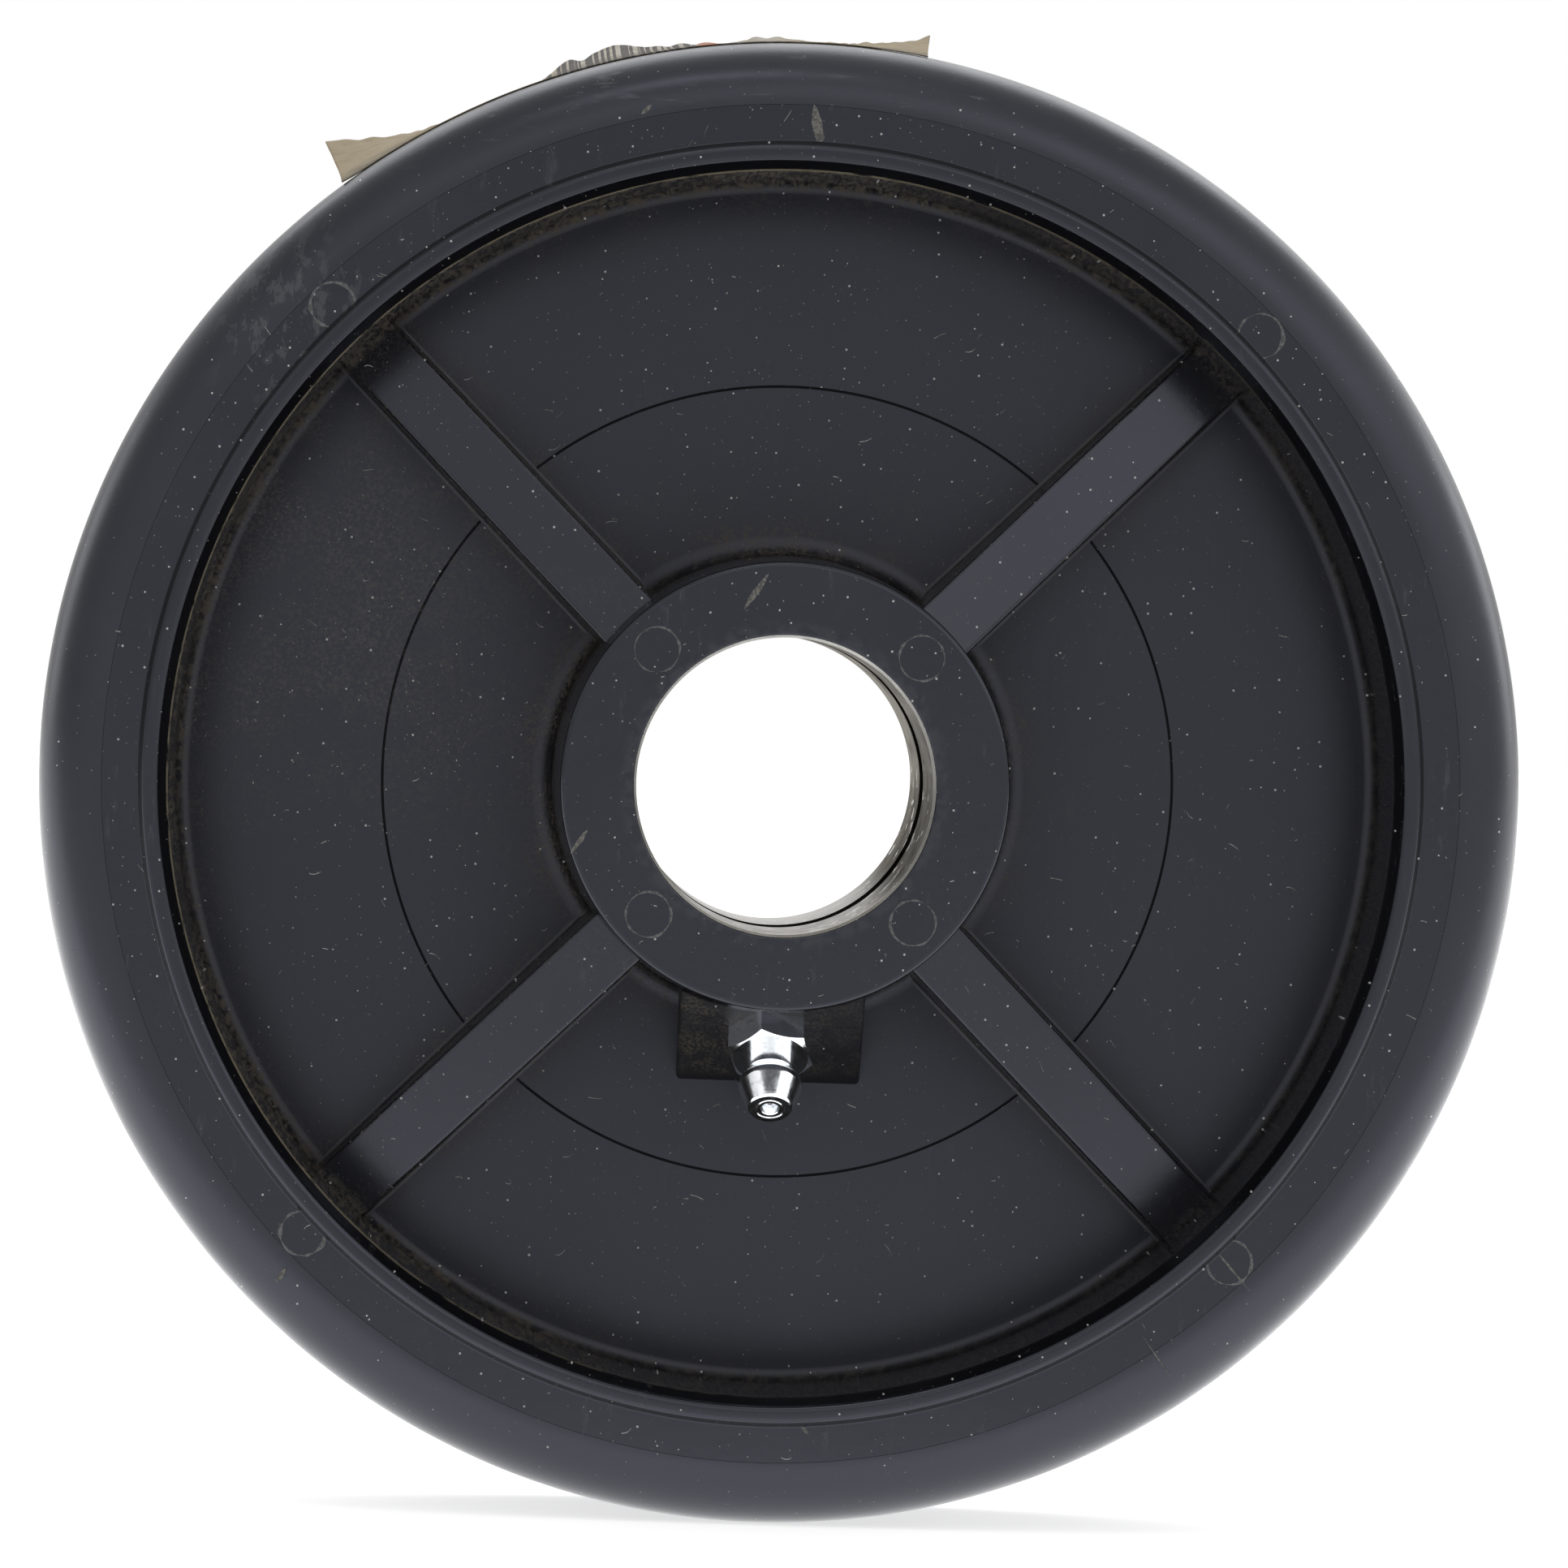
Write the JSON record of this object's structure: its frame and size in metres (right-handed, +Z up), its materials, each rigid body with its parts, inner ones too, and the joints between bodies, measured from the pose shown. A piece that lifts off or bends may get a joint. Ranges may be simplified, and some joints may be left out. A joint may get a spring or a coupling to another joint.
{
  "type": "caster wheel",
  "caption": "Black moulded caster wheel with ribbed web, over-moulded tread, long hub, steel bearing races in the bore, angled grease fitting and a peeling paper label.",
  "frame": {"origin": "the wheel's centre: on the bore's axis, halfway between the two hub faces", "axes": "+Y along the wheel's axis towards the far side, so the side with the grease fitting faces -Y; +Z up, with the fitting below the hub and the label on top; +X to the right seen from the near side"},
  "size_m": [0.1524, 0.062, 0.155],
  "materials": {
    "core_plastic": "moulded black plastic, satin",
    "tread_rubber": "smooth black moulded tread",
    "race_steel": "ground and polished steel",
    "zinc_plate": "bright zinc plated steel",
    "ball_steel": "polished steel",
    "spring_steel": "drawn spring wire",
    "label_paper": "aged tan paper label"
  },
  "bodies": {
    "wheel": {"wheel_core": "core_plastic", "tread": "tread_rubber", "near_bearing_race": "race_steel", "far_bearing_race": "race_steel", "grease_fitting_body": "zinc_plate", "fitting_spring": "spring_steel", "label": "label_paper"},
    "check_ball": {"fitting_check_ball": "ball_steel"}
  },
  "joints": [
    {"name": "check_ball_slide", "type": "slide", "parent": "wheel", "child": "check_ball", "axis": [0, 0.6428, 0.766], "range_m": [0, 0.0008], "stiffness_N_per_m": 150, "springref_m": -0.0005, "deforming": ["fitting_spring"]}
  ]
}
